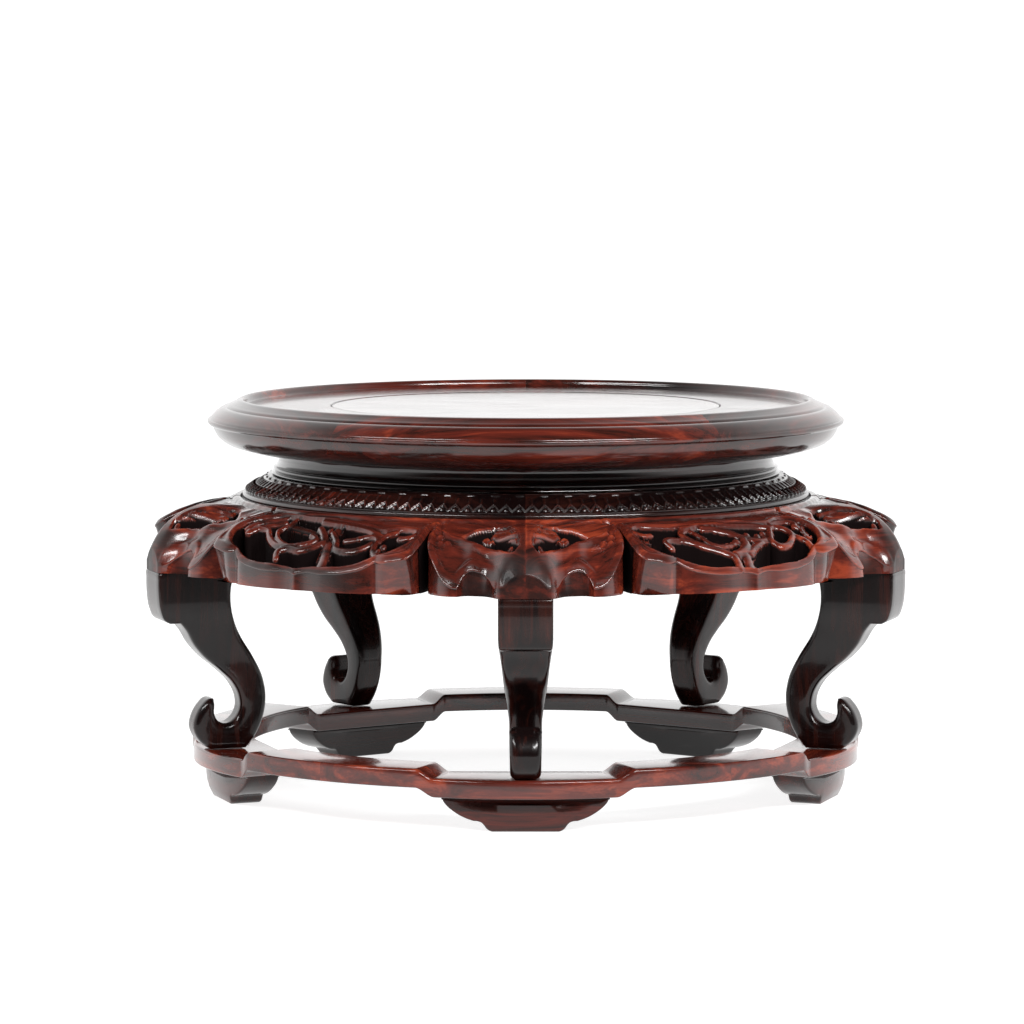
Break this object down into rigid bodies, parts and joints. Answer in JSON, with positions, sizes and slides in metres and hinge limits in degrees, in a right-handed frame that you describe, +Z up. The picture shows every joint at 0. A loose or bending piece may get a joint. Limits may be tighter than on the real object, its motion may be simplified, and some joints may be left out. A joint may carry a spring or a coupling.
{
  "type": "display stand",
  "caption": "Round display stand with a lipped top, pierced scroll apron, curled cabriole legs and a humpback base ring on bracket feet.",
  "frame": {"origin": "on the floor, on the vertical axis of the round top; the bounding box's centre lies 2 mm towards the front leg, because one of an odd number of legs faces the front", "axes": "+Z up; -Y towards the front leg; +X to the right seen from the front"},
  "size_m": [0.283, 0.2872, 0.1479],
  "materials": {
    "top_frame": "hand-polished rosewood, glossy, red-brown with dark streaks",
    "top_panel": "hand-polished rosewood, glossy, straight grain",
    "batten": "scraped and oiled rosewood, satin",
    "key": "plain unpolished hardwood",
    "waist": "polished rosewood, near black",
    "collar": "carved and polished rosewood, dark",
    "apron": "carved and polished rosewood, red-brown",
    "leg": "polished rosewood, dark brown",
    "base_ring": "polished rosewood, red-brown",
    "bracket_foot": "polished rosewood, dark brown"
  },
  "bodies": {
    "root": {"top_panel": "top_panel", "panel_batten_left": "batten", "panel_batten_right": "batten", "top_frame_1": "top_frame", "top_frame_key_1": "key", "waist_1": "waist", "collar_1": "collar", "apron_1": "apron", "shoulder_key_1": "key", "leg_1": "leg", "base_segment_1": "base_ring", "base_key_1": "key", "bracket_foot_1": "bracket_foot", "top_frame_2": "top_frame", "top_frame_key_2": "key", "waist_2": "waist", "collar_2": "collar", "apron_2": "apron", "shoulder_key_2": "key", "leg_2": "leg", "base_segment_2": "base_ring", "base_key_2": "key", "bracket_foot_2": "bracket_foot", "top_frame_3": "top_frame", "top_frame_key_3": "key", "waist_3": "waist", "collar_3": "collar", "apron_3": "apron", "shoulder_key_3": "key", "leg_3": "leg", "base_segment_3": "base_ring", "base_key_3": "key", "bracket_foot_3": "bracket_foot", "top_frame_4": "top_frame", "top_frame_key_4": "key", "waist_4": "waist", "collar_4": "collar", "apron_4": "apron", "shoulder_key_4": "key", "leg_4": "leg", "base_segment_4": "base_ring", "base_key_4": "key", "bracket_foot_4": "bracket_foot", "top_frame_5": "top_frame", "top_frame_key_5": "key", "waist_5": "waist", "collar_5": "collar", "apron_5": "apron", "shoulder_key_5": "key", "leg_5": "leg", "base_segment_5": "base_ring", "base_key_5": "key", "bracket_foot_5": "bracket_foot"}
  },
  "joints": []
}
